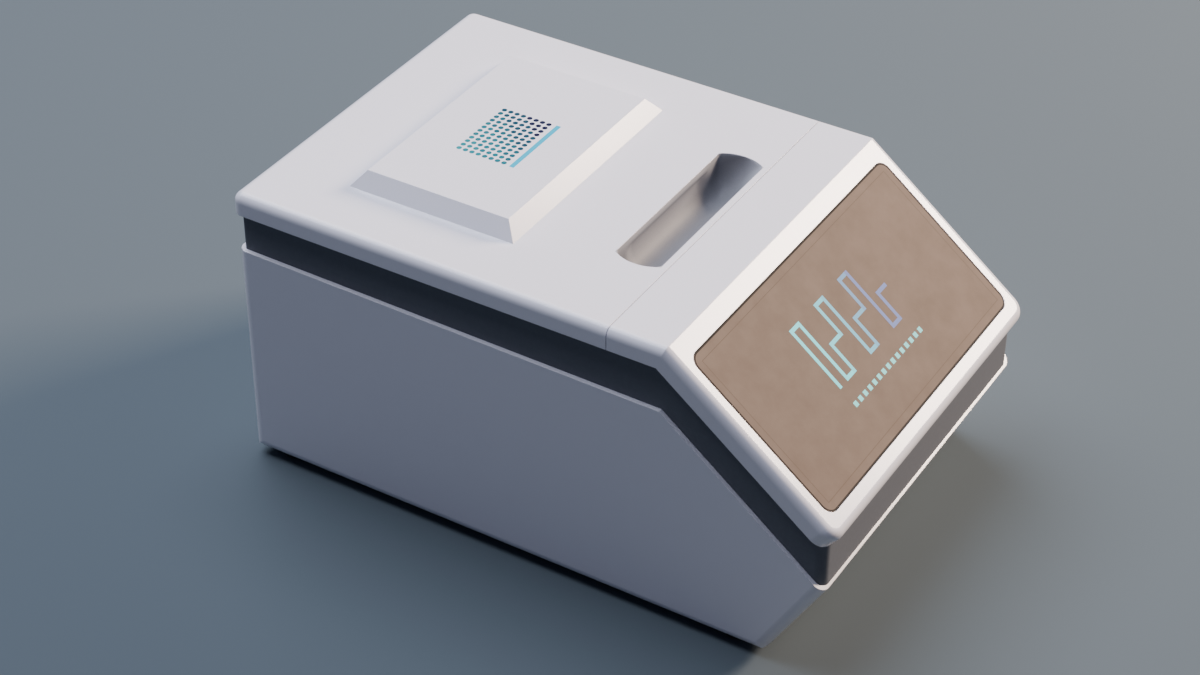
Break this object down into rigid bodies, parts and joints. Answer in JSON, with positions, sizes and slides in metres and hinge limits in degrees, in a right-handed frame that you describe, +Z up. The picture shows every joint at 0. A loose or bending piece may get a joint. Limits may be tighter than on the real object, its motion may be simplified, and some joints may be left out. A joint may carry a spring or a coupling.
{
  "type": "thermal cycler",
  "caption": "Benchtop thermal cycler: two-part white housing round a charcoal frame, sloped touch screen, rear-hinged lid with finger scoop and raised pad, heated platen over a well block",
  "frame": {"origin": "on the bench, under the middle of the body", "axes": "+Z up, -Y the side of the screen that the user faces, +Y the rear panel, +X to the user's right"},
  "size_m": [0.26, 0.4084, 0.208],
  "materials": {
    "white_shell": "satin moulded white",
    "charcoal_plastic": "fine textured charcoal",
    "panel_steel": "light grey powder coat",
    "screw_steel": "zinc plated",
    "bright_steel": "ground steel",
    "foot_rubber": "moulded black",
    "screen_glass": "back-printed taupe glass",
    "frame_black": "black",
    "gasket_foam": "closed-cell foam",
    "circuit_board": "green solder mask",
    "brass_spacer": "turned",
    "hinge_metal": "dark zinc casting",
    "clear_silicone": "translucent silicone",
    "block_aluminium": "fine machined",
    "clamp_plastic": "natural glass-filled",
    "ceramic_white": "alumina faces",
    "sink_aluminium": "extruded",
    "duct_plastic": "formed sheet",
    "fan_black": "moulded black",
    "supply_case": "folded sheet",
    "component_dark": "moulded and sleeved parts",
    "socket_black": "black moulded",
    "contact_brass": "nickel-brass blades",
    "port_steel": "formed shell",
    "magnet_nickel": "nickel plated",
    "platen_black": "heat-resistant black",
    "platen_aluminium": "hard anodised grey",
    "heater_silicone": "orange silicone",
    "insulation_wool": "felted fibre"
  },
  "bodies": {
    "chassis": {"lower_casing": "white_shell", "base_plate": "panel_steel", "base_screws": "screw_steel", "feet": "foot_rubber", "foot_screws": "screw_steel", "rear_panel": "panel_steel", "panel_screws": "screw_steel", "mid_frame": "charcoal_plastic", "front_bezel": "white_shell", "bezel_screws": "screw_steel", "touch_glass": "screen_glass", "screen_frame": "frame_black", "screen_gasket": "gasket_foam", "display_module": "frame_black", "display_spacers": "brass_spacer", "display_board": "circuit_board", "hinge_brackets": "hinge_metal", "hinge_screws": "screw_steel", "hinge_pins": "bright_steel", "striker_plates": "bright_steel", "lid_bumpers": "foot_rubber", "block_surround": "charcoal_plastic", "block_gasket": "clear_silicone", "sample_block": "block_aluminium", "block_clamp": "clamp_plastic", "clamp_screws": "screw_steel", "peltier_modules": "ceramic_white", "heat_sink": "sink_aluminium", "sink_posts": "sink_aluminium", "air_duct": "duct_plastic", "fan_frames": "fan_black", "power_supply": "supply_case", "supply_standoffs": "brass_spacer", "main_board": "circuit_board", "board_standoffs": "brass_spacer", "board_components": "component_dark", "mains_inlet": "socket_black", "inlet_pins": "contact_brass", "switch_body": "socket_black", "usb_port": "port_steel", "network_port": "port_steel"},
    "lid": {"lid_cover": "white_shell", "lid_liner": "charcoal_plastic", "liner_screws": "screw_steel", "hinge_arms": "hinge_metal", "arm_screws": "screw_steel", "latch_magnets": "magnet_nickel", "platen_frame": "platen_black", "platen_springs": "bright_steel"},
    "platen": {"heated_platen": "platen_aluminium", "heater_mat": "heater_silicone", "platen_insulation": "insulation_wool", "guide_pins": "bright_steel"},
    "fan_left": {"fan_rotor_left": "fan_black"},
    "fan_right": {"fan_rotor_right": "fan_black"},
    "rocker": {"power_rocker": "socket_black"}
  },
  "joints": [
    {"name": "lid_hinge", "type": "hinge", "parent": "chassis", "child": "lid", "pos_m": [0, 0.18925, 0.172], "axis": [-1, 0, 0], "range_deg": [0, 80]},
    {"name": "platen_float", "type": "slide", "parent": "lid", "child": "platen", "axis": [0, 0, 1], "range_m": [0, 0.003], "stiffness_N_per_m": 3000, "springref_m": -0.003, "deforming": ["platen_springs"]},
    {"name": "fan_left_spin", "type": "hinge", "parent": "chassis", "child": "fan_left", "pos_m": [-0.042, 0.165, 0.0922], "axis": [0, 1, 0], "continuous": true},
    {"name": "fan_right_spin", "type": "hinge", "parent": "chassis", "child": "fan_right", "pos_m": [0.042, 0.165, 0.0922], "axis": [0, 1, 0], "continuous": true},
    {"name": "rocker_tilt", "type": "hinge", "parent": "chassis", "child": "rocker", "pos_m": [-0.038, 0.19925, 0.04], "axis": [-1, 0, 0], "range_deg": [0, 18]}
  ]
}
